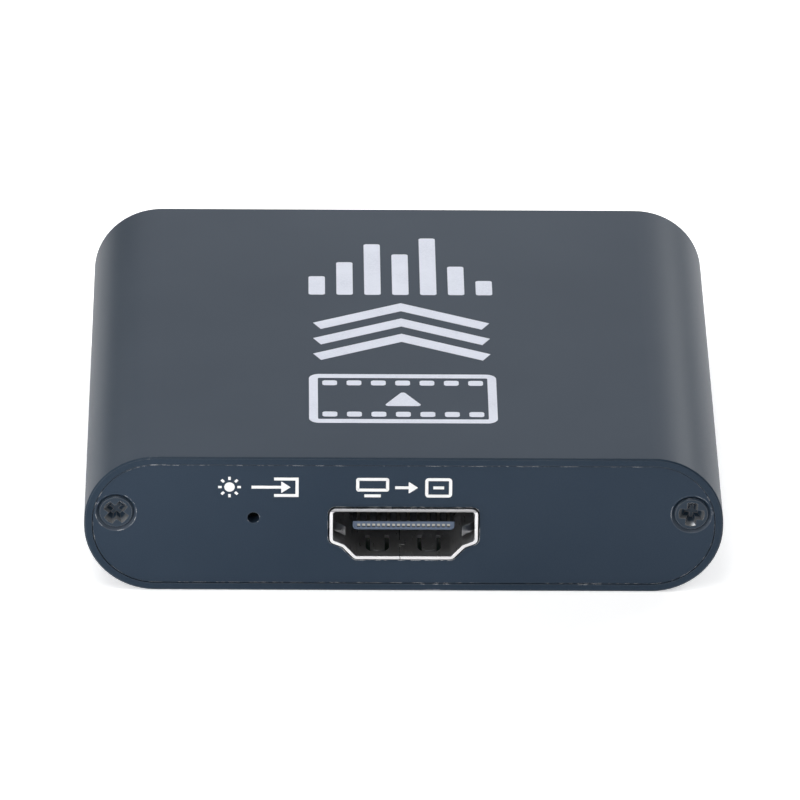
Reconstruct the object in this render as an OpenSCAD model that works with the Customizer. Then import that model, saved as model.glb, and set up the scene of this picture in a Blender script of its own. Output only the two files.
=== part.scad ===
// Small video capture box: an extruded metal case closed by two inset end plates, with a
// video socket in the front plate, a data socket in the rear plate and a board between them.
// Millimetres, +Z up, origin at the middle of the underside, front end facing -Y.

/* [Case] */
// Outside width of the case
case_w = 64; // [58:0.5:80]
// Length of the case from end to end
case_d = 60; // [56:0.5:90]
// Outside height of the case
case_h = 14.8; // [14.5:0.1:20]
// Outside radius of the four long edges
case_r = 7.15; // [5:0.05:7.2]
// Thickness of the case wall
wall = 0.8; // [0.6:0.05:1.2]
// Broken edge round the outside of the case's ends
case_edge = 0.16; // [0.04:0.02:0.3]

/* [End plates] */
// Thickness of an end plate
plate_t = 1.5; // [1.2:0.1:2.5]
// Depth of an end plate's face behind the end of the case
plate_recess = 0.1; // [0:0.05:0.5]
// Broken edge round the outer face of an end plate
plate_chamfer = 0.06; // [0.02:0.02:0.3]
// How far an end plate sits below the middle of its opening
plate_drop = 0.01; // [0:0.005:0.015]

/* [Screws] */
// Outside diameter of the screw's thread
screw_d = 2; // [1.6:0.1:2.5]
// Diameter of the countersunk head
screw_head_d = 3.5; // [3.2:0.05:3.7]
// Height of the straight rim of the head
screw_rim = 0.2; // [0.18:0.02:0.24]
// Broken edge round the head's face
screw_edge = 0.14; // [0.04:0.02:0.16]
// Length of the screw, head included
screw_len = 6; // [4:0.5:8]
// Tip to tip size of the cross recess
recess_d = 2.6; // [1.6:0.1:2.8]
// Width of one wing of the cross recess at the head's face
recess_wing = 1.04; // [0.6:0.02:1.1]
// Width of one wing of the cross recess at its bottom
recess_root = 0.36; // [0.2:0.02:0.4]
// Depth of the cross recess
recess_depth = 0.9; // [0.6:0.1:1.2]
// Turn of the cross recess in a plate's left screw and in its right screw, in degrees
recess_turns = [40, 5]; // [0:5:90]
// Distance from the case's side to the screw
screw_inset = 3.2; // [3.1:0.1:4]
// Height of the screw above the middle of the case
screw_rise = 1.25; // [0:0.05:1.5]
// Radius of the screw channel that runs along the case
boss_r = 2; // [1.8:0.1:2.2]
// Width of the slot that opens the screw channel
boss_slot = 1; // [0.6:0.1:1.4]

/* [Board] */
// Thickness of the circuit board
board_t = 1.6; // [1:0.1:2]
// Space between the case's floor and the board
board_lift = 1.2; // [1:0.1:2]
// Width of the board's edge that the case's ledges hold
rail_grip = 1.6; // [1:0.1:2.5]
// Height of the ledge above the board
rail_h = 1; // [0.6:0.1:1.5]

/* [Video port] */
// Outside width of the port's shell
video_w = 14.85; // [14.6:0.05:15.5]
// Outside height of the port's shell
video_h = 5.6; // [5.3:0.05:6]
// Thickness of the shell's sheet
video_sheet = 0.32; // [0.26:0.02:0.36]
// Depth of the shell from mouth to back
video_d = 11.5; // [10:0.5:13]
// Width of the flat underside
video_foot_w = 9.8; // [9:0.1:10.5]
// Height of the shoulder's lower corner
video_step_z = 1.34; // [1.2:0.02:1.4]
// Distance from the side to the shoulder's lower corner
video_step_in = 1.3; // [1:0.05:1.6]
// Rise of the shoulder towards the side
video_step_rise = 0.53; // [0.3:0.01:0.8]
// Bend radius of the shell's sheet, inside
video_bend = 0.3; // [0.1:0.05:0.4]
// Width of the tongue
video_tongue_w = 10.2; // [9.8:0.1:10.6]
// Thickness of the tongue
video_tongue_t = 0.9; // [0.8:0.05:1.2]
// Radius of the tongue's lower edges
video_tongue_r = 0.4; // [0.1:0.05:0.45]
// Height of the tongue's underside above the board
video_tongue_z = 2.65; // [2.5:0.05:3]
// Depth of the tongue's tip behind the mouth
video_tongue_in = 1.4; // [1:0.1:2]
// Depth of the solid block behind the tongue
video_block_d = 3.2; // [2.5:0.1:4]
// Number of contacts
video_contacts = 19; // [15:2:19]
// Spacing of the contacts
video_pitch = 0.5; // [0.45:0.01:0.5]
// Width of one contact
video_contact_w = 0.3; // [0.2:0.02:0.36]
// Thickness of one contact
video_contact_t = 0.15; // [0.1:0.01:0.2]
// Height of the contact's bent tip that shows in the tongue's front
video_tip_h = 0.36; // [0.2:0.02:0.5]
// Width of the seam where the folded sheet meets
video_seam = 0.06; // [0.04:0.01:0.1]
// Distance of the seam from the middle of the underside
video_seam_x = 0.35; // [0:0.05:0.45]
// Distance from the mouth to the dovetail that locks the seam
video_lock_in = 2.8; // [2:0.1:4]
// Length of the dovetail's root along the seam
video_lock_len = 1; // [0.6:0.1:1.5]
// Reach of the dovetail beside the seam
video_lock_w = 0.55; // [0.3:0.05:0.6]
// Spread of the dovetail's corners past its root
video_lock_flare = 0.15; // [0:0.05:0.25]

/* [Data port] */
// Outside width of the port's shell
data_w = 13.2; // [12.8:0.1:14]
// Outside height of the port's shell
data_h = 5.8; // [5.6:0.05:6.2]
// Thickness of the shell's sheet
data_sheet = 0.35; // [0.25:0.05:0.45]
// Depth of the shell from mouth to back
data_d = 14; // [12:0.5:16]
// Bend radius of the shell's sheet, inside
data_bend = 0.3; // [0.1:0.05:0.5]
// Width of the tongue
data_tongue_w = 11.1; // [10.5:0.1:11.5]
// Thickness of the tongue
data_tongue_t = 1.85; // [1.5:0.05:2]
// Height of the tongue's underside above the board
data_tongue_z = 3; // [2.8:0.05:3.1]
// Depth of the tongue's tip behind the mouth
data_tongue_in = 1.2; // [0.8:0.1:2]
// Depth of the solid block behind the tongue
data_block_d = 4; // [3:0.1:5]
// Thickness of one contact
data_contact_t = 0.2; // [0.1:0.05:0.3]
// Width of one front contact
data_contact_w = 0.5; // [0.4:0.02:0.52]
// Width of one rear contact
data_rear_contact_w = 0.4; // [0.3:0.02:0.42]
// Spacing of the rear contacts
data_rear_pitch = 2; // [2:0.02:2.1]
// Depth of the rear contacts' tips behind the tongue's tip
data_rear_in = 3.6; // [3:0.1:4.5]

/* [Port fixings] */
// How far each port stands out of the end of the case
port_proud = 0.2; // [0:0.05:0.6]
// Width of one fixing leg of a port
leg_w = 1.4; // [1:0.1:1.8]
// Distance from the mouth to the first pair of legs
leg_front = 2.6; // [2.5:0.1:3.2]
// Distance between the two pairs of legs
leg_pitch = 6; // [5:0.1:6.5]
// How far legs, pins and leads stand out below the board
pin_stub = 0.6; // [0.3:0.1:0.8]
// Width of a spring finger cut in a shell
finger_w = 1.5; // [1.2:0.1:1.7]
// Width of the slot round a spring finger
finger_slot = 0.42; // [0.3:0.02:0.5]
// Length of the slot round a spring finger
finger_len = 3.8; // [3:0.1:4]
// Distance from the mouth to the slot round a spring finger
finger_in = 1; // [0.8:0.1:1.3]
// Distance of a spring finger from the middle of its wall
finger_x = 2.6; // [2.2:0.1:3]
// Height of the video port's side springs
side_spring_h = 1; // [0.6:0.05:1.1]
// Height of the side springs' lower edge above the board
side_spring_z = 2.3; // [2.3:0.05:2.6]
// Distance from the mouth to the window that a side spring is bent from
side_spring_in = 0.4; // [0.3:0.05:0.4]
// Length of the side springs
side_spring_len = 2.1; // [1.7:0.1:2.1]
// Thickness of the side springs
side_spring_t = 0.2; // [0.16:0.01:0.28]
// Turn of the side springs into the port, in degrees
side_spring_turn = 42; // [15:1:45]
// Gap over and under a side spring in its window
side_spring_gap = 0.1; // [0.06:0.01:0.12]

/* [Pilot lights] */
// Distance of the light's hole from the middle of the plate
light_x = 15.05; // [13:0.05:18]
// Height of the light's hole above the underside
light_z = 8.1; // [7.5:0.05:9]
// Diameter of the light's hole
light_hole_d = 1.2; // [0.8:0.1:2]
// Diameter of the light's lens
lens_d = 3; // [2:0.1:3.2]
// Length of the lens, dome included
lens_len = 4.5; // [3.5:0.1:5.5]
// Diameter of the lens's flange
lens_flange_d = 3.4; // [3.3:0.1:3.8]
// Thickness of the lens's flange
lens_flange_t = 0.8; // [0.5:0.1:1]
// Width of one square lead
lead_w = 0.5; // [0.4:0.05:0.6]
// Spacing of the two leads
lead_pitch = 2.54; // [2:0.02:2.54]
// Length of the leads behind the lens
lead_run = 1.5; // [1:0.1:2]

/* [Chips] */
// Side of the capture chip
capture_w = 9; // [8:0.5:10]
// Height of the capture chip
capture_h = 0.85; // [0.7:0.05:1.2]
// Place of the capture chip behind the middle of the board
capture_y = 3; // [2.5:0.1:3.5]
// Side of the video receiver chip
receiver_w = 10; // [9:0.5:10]
// Height of the video receiver chip
receiver_h = 1.4; // [1:0.1:1.6]
// Leads along each side of the video receiver chip
receiver_leads = 16; // [12:1:16]
// Spacing of those leads
receiver_pitch = 0.5; // [0.45:0.05:0.5]
// Place of the video receiver chip behind the middle of the board
receiver_y = -9; // [-9.5:0.1:-8]
// Distance from the board's right edge to the middle of the video receiver chip
receiver_in = 11.1; // [10.5:0.1:12]
// Width of the frame memory chip
memory_w = 8; // [7:0.5:9]
// Length of the frame memory chip
memory_d = 12.5; // [11:0.5:13]
// Height of the frame memory chip
memory_h = 1; // [0.8:0.1:1.2]
// Place of the frame memory chip behind the middle of the board
memory_y = -10; // [-10.5:0.1:-9.5]
// Width of the firmware chip
firmware_w = 3.9; // [3.5:0.1:4.4]
// Length of the firmware chip
firmware_d = 4.9; // [4.6:0.1:5.3]
// Height of the firmware chip
firmware_h = 1.5; // [1.2:0.1:1.7]
// Spacing of the firmware chip's leads
firmware_pitch = 1.27; // [1:0.01:1.3]
// Leads along each side of the firmware chip
firmware_leads = 4; // [3:1:4]
// Place of the firmware chip behind the middle of the board
firmware_y = 13.5; // [13:0.1:14.5]
// Distance from the board's left edge to the middle of the capture, memory and firmware chips
left_chips_in = 13.1; // [12.6:0.1:13.6]
// Width of a regulator
regulator_w = 3; // [2.6:0.1:3.2]
// Depth of a regulator
regulator_d = 1.6; // [1.4:0.1:1.8]
// Height of a regulator
regulator_h = 1.1; // [0.9:0.1:1.4]
// Spacing of a regulator's leads
regulator_pitch = 0.95; // [0.9:0.01:1]
// Distance of the regulators from their inductors
regulator_step = 5.2; // [4.8:0.1:5.6]
// Width of a surge guard
guard_w = 2.5; // [2:0.1:3]
// Depth of a surge guard
guard_d = 1; // [0.8:0.1:1.4]
// Height of a surge guard
guard_h = 0.5; // [0.4:0.1:0.7]
// Spacing of the surge guards
guard_pitch = 3.6; // [3.4:0.1:4.2]
// Reach of a bent lead beyond its chip
lead_reach = 1; // [0.8:0.05:1.2]
// Thickness of a bent lead
lead_t = 0.15; // [0.1:0.01:0.2]
// Width of a fine chip's lead
fine_lead_w = 0.22; // [0.16:0.02:0.28]
// Width of a small chip's lead
wide_lead_w = 0.4; // [0.3:0.02:0.5]

/* [Small parts] */
// Side of a power inductor
inductor_w = 4; // [3.5:0.1:4.5]
// Height of a power inductor
inductor_h = 2; // [1.5:0.1:2.5]
// Diameter of an inductor's wound middle
inductor_core_d = 3.2; // [2.6:0.1:3.3]
// Spacing of the inductors
inductor_pitch = 5.4; // [5:0.1:5.6]
// Number of inductors, each with its regulator
inductors = 3; // [1:1:3]
// Place of the inductors behind the middle of the board
inductor_y = 4; // [3:0.1:5]
// Distance from the board's right edge to the middle of the nearest inductor
inductor_in = 4.8; // [4.4:0.1:5.4]
// Length of a crystal's can
crystal_w = 3.2; // [2.8:0.1:3.6]
// Width of a crystal's can
crystal_d = 2.5; // [2.2:0.1:2.8]
// Height of a crystal's can
crystal_h = 0.8; // [0.6:0.1:1]
// Length of a bulk capacitor
bulk_w = 3.5; // [3.2:0.1:3.8]
// Width of a bulk capacitor
bulk_d = 2.8; // [2.4:0.1:3.2]
// Height of a bulk capacitor
bulk_h = 1.9; // [1.6:0.1:2.2]
// Spacing of the bulk capacitors
bulk_pitch = 4.4; // [4:0.1:4.8]
// Place of the first bulk capacitor behind the middle of the board
bulk_y = 4; // [3:0.1:5]
// Length of a small capacitor or resistor
chip_w = 1; // [0.8:0.05:1.2]
// Width of a small capacitor or resistor
chip_d = 0.5; // [0.4:0.05:0.6]
// Height of a ceramic capacitor
ceramic_h = 0.5; // [0.4:0.05:0.6]
// Height of a resistor
resistor_h = 0.35; // [0.25:0.05:0.45]
// Spacing of small capacitors and resistors
chip_pitch = 2; // [1.6:0.1:2.4]
// Space between a chip's edge or leads and its capacitors
chip_space = 0.8; // [0.6:0.1:1.2]
// Number of resistors behind the video port
resistors = 6; // [3:1:7]

/* [Fits] */
// Gap round an end plate in the case
plate_gap = 0.03; // [0.02:0.01:0.2]
// Gap between a piece and the face that it stands on
seat_gap = 0.05; // [0.02:0.01:0.1]
// Gap round a screw, leg, pin or lead in its hole
hole_gap = 0.1; // [0.06:0.02:0.2]
// Gap round a port's shell in its end plate
port_gap = 0.16; // [0.12:0.02:0.24]
// How far a port's opening in its end plate sits below the port
port_drop = 0.08; // [0:0.02:0.1]
// Gap between the board's faces and the case's ledges
slot_gap = 0.1; // [0.04:0.02:0.16]
// Gap between the board's edges and the case or an end plate
board_gap = 0.3; // [0.15:0.05:0.5]
// Gap between a lens and the end plate in front of it
lens_gap = 0.3; // [0.1:0.1:0.8]
// Gap between a port's moulding, its shell and its contacts
moulding_gap = 0.03; // [0.02:0.01:0.05]

/* [Hidden] */
$fn = 64;
// Steps along one rounded bend of a sheet
bend_steps = 6;
// How far a cut runs past the face that it opens
past = 1;
edge_r = min(case_r, case_h / 2 - wall / 8);
floor_r = edge_r - wall;
board_z = wall + board_lift;
board_top = board_z + board_t;
plate_back = plate_recess + plate_t;
board_w = 2 * (case_w / 2 - edge_r + sqrt(floor_r * floor_r - pow(edge_r - board_z, 2)) - board_gap);
board_d = case_d - 2 * (plate_back + board_gap);
screw_x = case_w / 2 - screw_inset;
screw_z = case_h / 2 + screw_rise;
boss_end = plate_back + seat_gap;
lens_y = plate_back + lens_gap;
lead_y = lens_y + lens_len + lead_run;
video_in_h = video_h - 2 * video_sheet;
video_back = video_d + video_contact_t;
data_back = data_d - data_block_d / 2;
left_chips_x = left_chips_in - board_w / 2;
capture_at = [left_chips_x, capture_y];
memory_at = [left_chips_x, memory_y];
firmware_at = [left_chips_x, firmware_y];
receiver_at = [board_w / 2 - receiver_in, receiver_y];
inductor_at = [board_w / 2 - inductor_in, inductor_y];
crystal_step = 2 * chip_space + chip_d + crystal_w / 2;
capture_crystal_at = capture_at + [capture_w / 2 + crystal_step, 0];
receiver_crystal_at = receiver_at - [receiver_w / 2 + lead_reach + crystal_step, 0];
video_half = [
    [video_foot_w / 2, 0],
    [video_w / 2 - video_step_in, video_step_z],
    [video_w / 2, video_step_z + video_step_rise],
    [video_w / 2, video_h],
];
video_outline = both_sides(video_half);
data_outline = both_sides([[data_w / 2, 0], [data_w / 2, data_h]]);

// Right half of an outline, from bottom to top, closed by its mirror image
function both_sides(half) = concat(half, [for (i = [len(half) - 1:-1:0]) [-half[i].x, half[i].y]]);

function unit(v) = v / norm(v);

function outward(a, b) = unit([b.y - a.y, a.x - b.x]);

// Outline moved outwards by g on every side, with sharp corners kept
function grown(p, g) = [
    for (i = [0:len(p) - 1])
        let (a = p[(i + len(p) - 1) % len(p)], b = p[i], c = p[(i + 1) % len(p)])
        let (m = outward(a, b), n = outward(b, c))
        b + g * (m + n) / (1 + m * n)
];

// Arc of radius r that rounds the corner b between a and c
function bend(a, b, c, r) =
    let (u = unit(a - b), v = unit(c - b), half = acos(u * v) / 2)
    let (mid = b + unit(u + v) * r / sin(half))
    let (s = b + u * r / tan(half) - mid, e = b + v * r / tan(half) - mid)
    let (from = atan2(s.y, s.x), turn = atan2(s.x * e.y - s.y * e.x, s * e))
    [for (k = [0:bend_steps]) let (at = from + turn * k / bend_steps) mid + r * [cos(at), sin(at)]];

// Outline with every corner rounded: outer corners by r_out, inner corners by r_in
function rounded(p, r_out, r_in) = [
    for (i = [0:len(p) - 1])
        let (a = p[(i + len(p) - 1) % len(p)], b = p[i], c = p[(i + 1) % len(p)])
        let (bulges = (b.x - a.x) * (c.y - b.y) - (b.y - a.y) * (c.x - b.x) > 0)
        each bend(a, b, c, bulges ? r_out : r_in)
];

// Carries a flat shape, drawn in X and Z, from y backwards by length
module along_depth(y, length) {
    translate([0, y + length, 0])
        rotate([90, 0, 0])
            linear_extrude(height = length)
                children();
}

// Places children at an end of the case, where y = 0 is the end and +Y runs inwards
module at_front() {
    translate([0, -case_d / 2, 0])
        children();
}

module at_rear() {
    rotate([0, 0, 180])
        at_front()
            children();
}

// Places a port's own frame, mouth at y = 0 and board at z = 0, at an end of the case
module on_board_end() {
    translate([0, -port_proud, board_top])
        children();
}

module on_board(at) {
    translate([at.x, at.y, board_top + seat_gap])
        children();
}

module both_hands() {
    children();
    mirror([1, 0, 0])
        children();
}

// Section of the case, inset on every side
module case_section(inset) {
    r = edge_r - inset;
    x = case_w / 2 - edge_r;
    translate([-x, inset])
        square([2 * x, case_h - 2 * inset]);
    translate([-case_w / 2 + inset, edge_r])
        square([case_w - 2 * inset, case_h - 2 * edge_r]);
    for (side = [-x, x])
        for (z = [edge_r, case_h - edge_r])
            translate([side, z])
                circle(r = r);
}

// Layer whose outline slopes from one inset of the case's section at y = 0 to another at its back
module sloped_layer(depth, front, back) {
    x = case_w / 2 - edge_r;
    translate([-x, 0, 0])
        rotate([90, 0, 90])
            linear_extrude(height = 2 * x)
                polygon([[0, front], [depth, back], [depth, case_h - back], [0, case_h - front]]);
    translate([0, 0, edge_r])
        linear_extrude(height = case_h - 2 * edge_r)
            polygon([
                [front - case_w / 2, 0], [case_w / 2 - front, 0],
                [case_w / 2 - back, depth], [back - case_w / 2, depth],
            ]);
    for (side = [-x, x])
        for (z = [edge_r, case_h - edge_r])
            translate([side, 0, z])
                rotate([-90, 0, 0])
                    cylinder(h = depth, r1 = edge_r - front, r2 = edge_r - back);
}

// Screw channel and board ledges on the right inside of the case
module case_ribs() {
    rail_x = board_w / 2 - rail_grip;
    difference() {
        union() {
            translate([screw_x, screw_z])
                circle(r = boss_r);
            translate([screw_x, screw_z - boss_r])
                square([screw_inset, 2 * boss_r]);
        }
        translate([screw_x, screw_z])
            circle(d = screw_d + 2 * hole_gap);
        translate([screw_x - boss_r - past, screw_z - boss_slot / 2])
            square([boss_r + past, boss_slot]);
    }
    translate([rail_x, 0])
        square([case_w / 2 - rail_x, board_z - slot_gap]);
    translate([rail_x, board_top + slot_gap])
        square([case_w / 2 - rail_x, rail_h]);
}

module case_extrusion() {
    color([0.28, 0.30, 0.35]) {
        difference() {
            union() {
                along_depth(-case_d / 2 + case_edge, case_d - 2 * case_edge)
                    case_section(0);
                at_front()
                    sloped_layer(case_edge, case_edge, 0);
                at_rear()
                    sloped_layer(case_edge, case_edge, 0);
            }
            along_depth(-case_d / 2 - past, case_d + 2 * past)
                case_section(wall);
        }
        along_depth(-case_d / 2 + boss_end, case_d - 2 * boss_end)
            intersection() {
                case_section(wall / 2);
                both_hands()
                    case_ribs();
            }
    }
}

// Countersunk screw along +Y from its head's face
module screw_form() {
    r = screw_d / 2;
    head_r = screw_head_d / 2;
    rotate([-90, 0, 0])
        rotate_extrude()
            polygon([
                [0, 0], [head_r - screw_edge, 0], [head_r, screw_edge], [head_r, screw_rim],
                [r, screw_rim + head_r - r], [r, screw_len - screw_d / 4],
                [r - screw_d / 4, screw_len], [0, screw_len],
            ]);
}

// Hole for a screw, whose countersink widens up to the plate's face
module screw_hole() {
    r = screw_d / 2 + hole_gap;
    sink_r = screw_head_d / 2 + hole_gap + screw_rim;
    rotate([-90, 0, 0])
        rotate_extrude()
            polygon([
                [0, -past], [sink_r, -past], [sink_r, 0], [r, sink_r - r],
                [r, plate_t + past], [0, plate_t + past],
            ]);
}

// Cross recess whose wings narrow and run together towards the bottom
module cross_recess() {
    mouth = recess_wing + (recess_wing - recess_root) * past / recess_depth;
    mouth_r = recess_d / 2 * (1 + past / recess_depth / 2);
    rotate([-90, 0, 0])
        intersection() {
            translate([0, 0, -past])
                cylinder(h = past + recess_depth, r1 = mouth_r, r2 = recess_d / 4);
            for (turn = [0, 90])
                rotate([0, 0, turn])
                    translate([-recess_d, 0, 0])
                        rotate([90, 0, 90])
                            linear_extrude(height = 2 * recess_d)
                                polygon([
                                    [-mouth / 2, -past], [mouth / 2, -past],
                                    [recess_root / 2, recess_depth], [-recess_root / 2, recess_depth],
                                ]);
        }
}

module at_screw(side) {
    translate([side * screw_x, plate_recess, screw_z])
        children();
}

// One end plate at y = 0, pierced for its screws and its pilot light and by its port
module end_plate() {
    inset = wall + plate_gap;
    difference() {
        translate([0, plate_recess, -plate_drop]) {
            sloped_layer(plate_chamfer, inset + plate_chamfer, inset);
            along_depth(plate_chamfer, plate_t - plate_chamfer)
                case_section(inset);
        }
        for (side = [-1, 1])
            at_screw(side)
                screw_hole();
        translate([-light_x, -past, light_z])
            rotate([-90, 0, 0])
                cylinder(h = plate_back + 2 * past, d = light_hole_d);
        translate([0, 0, board_top + seat_gap - port_drop])
            along_depth(-past, plate_back + 2 * past)
                children();
    }
}

module plate_screws() {
    for (i = [0, 1])
        at_screw(2 * i - 1)
            difference() {
                screw_form();
                rotate([0, recess_turns[i], 0])
                    cross_recess();
            }
}

module front_plate() {
    color([0.20, 0.25, 0.31])
        at_front()
            end_plate()
                video_section(port_gap);
}

module rear_plate() {
    color([0.20, 0.25, 0.31])
        at_rear()
            end_plate()
                data_section(port_gap);
}

module front_plate_screws() {
    color([0.22, 0.25, 0.29])
        at_front()
            plate_screws();
}

module rear_plate_screws() {
    color([0.22, 0.25, 0.29])
        at_rear()
            plate_screws();
}

// Section of a port, grown outwards or shrunk inwards from the outside of its shell
module video_section(grow) {
    r = video_bend + video_sheet + grow;
    polygon(rounded(grown(video_outline, grow), r, max(video_bend - grow, 0.05)));
}

module data_section(grow) {
    r = data_bend + data_sheet + grow;
    polygon(rounded(grown(data_outline, grow), r, r));
}

// Slot in the shape of a U, round end towards the mouth, that frees a spring finger
module finger_cut() {
    reach = finger_w / 2 + finger_slot;
    translate([0, finger_in + reach])
        difference() {
            union() {
                circle(r = reach);
                translate([-reach, 0])
                    square([2 * reach, finger_len - reach]);
            }
            circle(d = finger_w);
            translate([-finger_w / 2, 0])
                square([finger_w, finger_len]);
        }
}

module finger_cuts(z, height) {
    for (side = [-finger_x, finger_x])
        translate([side, 0, z])
            linear_extrude(height = height)
                finger_cut();
}

// Fixing legs of a port: the shell's side walls carried down through the board
module port_legs(width, sheet, top, extra) {
    for (y = [leg_front, leg_front + leg_pitch])
        for (side = [-width / 2, width / 2 - sheet])
            translate([side - extra, y - extra, -board_t - pin_stub])
                cube([sheet + 2 * extra, leg_w + 2 * extra, board_t + pin_stub + top]);
}

// Window in the video port's right wall, and the spring that bends inwards from its back edge
module side_window() {
    translate([video_w / 2 - video_sheet - past, side_spring_in, side_spring_z - side_spring_gap])
        cube([video_sheet + 2 * past, side_spring_len, side_spring_h + 2 * side_spring_gap]);
}

module side_spring() {
    along = [-sin(side_spring_turn), -cos(side_spring_turn)];
    across = side_spring_t / 2 * [-along.y, along.x];
    slant = side_spring_t / 2 / tan(side_spring_turn);
    translate([video_w / 2 - video_sheet / 2, side_spring_in + side_spring_len, side_spring_z])
        linear_extrude(height = side_spring_h)
            polygon([
                across - side_spring_t * along, -across - side_spring_t * along,
                -across + (side_spring_len - slant) * along, across + (side_spring_len + slant) * along,
            ]);
}

// Seam of the folded sheet: a straight slit that steps round a dovetail
module seam_cut() {
    end = video_lock_in + video_lock_len;
    lock = [
        [0, end], [0, video_lock_in],
        [video_lock_w, video_lock_in - video_lock_flare], [video_lock_w, end + video_lock_flare],
    ];
    translate([-video_seam_x, 0]) {
        for (run = [[-past, video_lock_in], [end, video_d + past]])
            translate([-video_seam / 2, run[0]])
                square([video_seam, run[1] - run[0]]);
        difference() {
            polygon(grown(lock, video_seam / 2));
            polygon(grown(lock, -video_seam / 2));
            translate([-video_seam, video_lock_in + video_seam / 2])
                square([2 * video_seam, video_lock_len - video_seam]);
        }
    }
}

module video_legs(extra) {
    port_legs(video_w, video_sheet, video_h / 2, extra);
}

module data_legs(extra) {
    port_legs(data_w, data_sheet, data_h / 2, extra);
}

module video_port_shell() {
    color([0.80, 0.80, 0.78])
        at_front()
            on_board_end() {
                translate([0, 0, seat_gap])
                    difference() {
                        along_depth(0, video_d)
                            difference() {
                                video_section(0);
                                video_section(-video_sheet);
                            }
                        finger_cuts(-past, past + video_sheet + moulding_gap);
                        finger_cuts(video_h - video_sheet - moulding_gap, past);
                        translate([0, 0, -past])
                            linear_extrude(height = past + video_sheet + moulding_gap)
                                seam_cut();
                        both_hands()
                            side_window();
                    }
                both_hands()
                    side_spring();
                video_legs(0);
            }
}

// Path of one contact: a tip bent past the tongue's middle, along the tongue, down behind the
// block and back along the board
module video_contact(low, extra) {
    t = video_contact_t + extra;
    w = video_contact_w + 2 * extra;
    base = seat_gap + video_tongue_z;
    z = base + (low ? -extra : video_tongue_t - video_contact_t);
    start = video_tongue_in + video_contact_t;
    translate([-w / 2, start - extra, base - extra + (low ? 0 : (video_tongue_t - video_tip_h) / 2)])
        cube([w, t + extra, (video_tongue_t + video_tip_h) / 2 + 2 * extra]);
    translate([-w / 2, start - extra, z])
        cube([w, video_back - start + extra, t]);
    translate([-w / 2, video_d, seat_gap])
        cube([w, video_contact_t, z - seat_gap + t]);
    translate([-w / 2, video_d, seat_gap])
        cube([w, lead_reach, video_contact_t]);
}

module at_video_contact(i) {
    translate([(i - (video_contacts - 1) / 2) * video_pitch, 0, 0])
        children();
}

module all_video_contacts(extra) {
    for (i = [0:video_contacts - 1])
        at_video_contact(i)
            video_contact(i % 2 == 1, extra);
}

// Windows in the tongue's front that show the contacts' tips
module tip_windows() {
    z = seat_gap + video_tongue_z + (video_tongue_t - video_tip_h) / 2;
    for (i = [0:video_contacts - 1])
        at_video_contact(i)
            translate([-video_contact_w / 2, video_tongue_in - past, z])
                cube([video_contact_w, past + video_contact_t, video_tip_h]);
}

// Section of the tongue, with round lower edges
module video_tongue_section() {
    half = video_tongue_w / 2;
    inner = half - video_tongue_r;
    for (side = [-inner, inner])
        translate([side, video_tongue_r])
            circle(r = video_tongue_r);
    translate([-inner, 0])
        square([2 * inner, video_tongue_t]);
    translate([-half, video_tongue_r])
        square([2 * half, video_tongue_t - video_tongue_r]);
}

module video_port_contacts() {
    color([0.85, 0.72, 0.40])
        at_front()
            on_board_end()
                all_video_contacts(0);
}

module video_port_tongue() {
    block = video_d - video_block_d;
    color([0.52, 0.55, 0.59])
        at_front()
            on_board_end()
                difference() {
                    union() {
                        along_depth(block, video_block_d)
                            translate([0, seat_gap])
                                video_section(-video_sheet - moulding_gap);
                        along_depth(video_tongue_in, block - video_tongue_in + past)
                            translate([0, seat_gap + video_tongue_z])
                                video_tongue_section();
                    }
                    all_video_contacts(moulding_gap);
                    tip_windows();
                }
}

module data_port_shell() {
    color([0.78, 0.78, 0.77])
        at_rear()
            on_board_end() {
                translate([0, 0, seat_gap])
                    difference() {
                        along_depth(0, data_d)
                            difference() {
                                data_section(0);
                                data_section(-data_sheet);
                            }
                        finger_cuts(-past, past + data_sheet + moulding_gap);
                        finger_cuts(data_h - data_sheet - moulding_gap, past);
                        translate([-data_tongue_w / 2, data_d - data_block_d, -past])
                            cube([data_tongue_w, data_block_d + past, past + data_sheet + moulding_gap]);
                    }
                data_legs(0);
            }
}

// One data contact: along the tongue's underside into the block, then down through the board
module data_contact(w, start, pin_y, extra) {
    z = seat_gap + data_tongue_z;
    wide = w + 2 * extra;
    translate([-wide / 2, start - extra, z - extra])
        cube([wide, pin_y - start + data_contact_t + 2 * extra, data_contact_t + 2 * extra]);
    translate([-wide / 2, pin_y - extra, -board_t - pin_stub])
        cube([wide, data_contact_t + 2 * extra, z + data_contact_t + extra + board_t + pin_stub]);
}

module all_data_contacts(extra) {
    start = data_tongue_in + data_contact_t;
    for (x = [-1.75, -0.5, 0.5, 1.75] * data_rear_pitch)
        translate([x, 0, 0])
            data_contact(data_contact_w, start, data_back - data_block_d / 4, extra);
    for (i = [-2:2])
        translate([i * (data_rear_pitch + (data_contact_w - data_rear_contact_w) / 2), 0, 0])
            data_contact(data_rear_contact_w, start + data_rear_in, data_back + data_block_d / 4, extra);
}

module data_port_contacts() {
    color([0.85, 0.72, 0.40])
        at_rear()
            on_board_end()
                all_data_contacts(0);
}

module data_port_tongue() {
    block = data_d - data_block_d;
    color([0.12, 0.35, 0.70])
        at_rear()
            on_board_end()
                difference() {
                    union() {
                        along_depth(block, data_block_d)
                            translate([0, seat_gap])
                                data_section(-data_sheet - moulding_gap);
                        translate([-data_tongue_w / 2, data_tongue_in, seat_gap + data_tongue_z])
                            cube([data_tongue_w, block - data_tongue_in + past, data_tongue_t]);
                    }
                    all_data_contacts(moulding_gap);
                }
}

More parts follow.
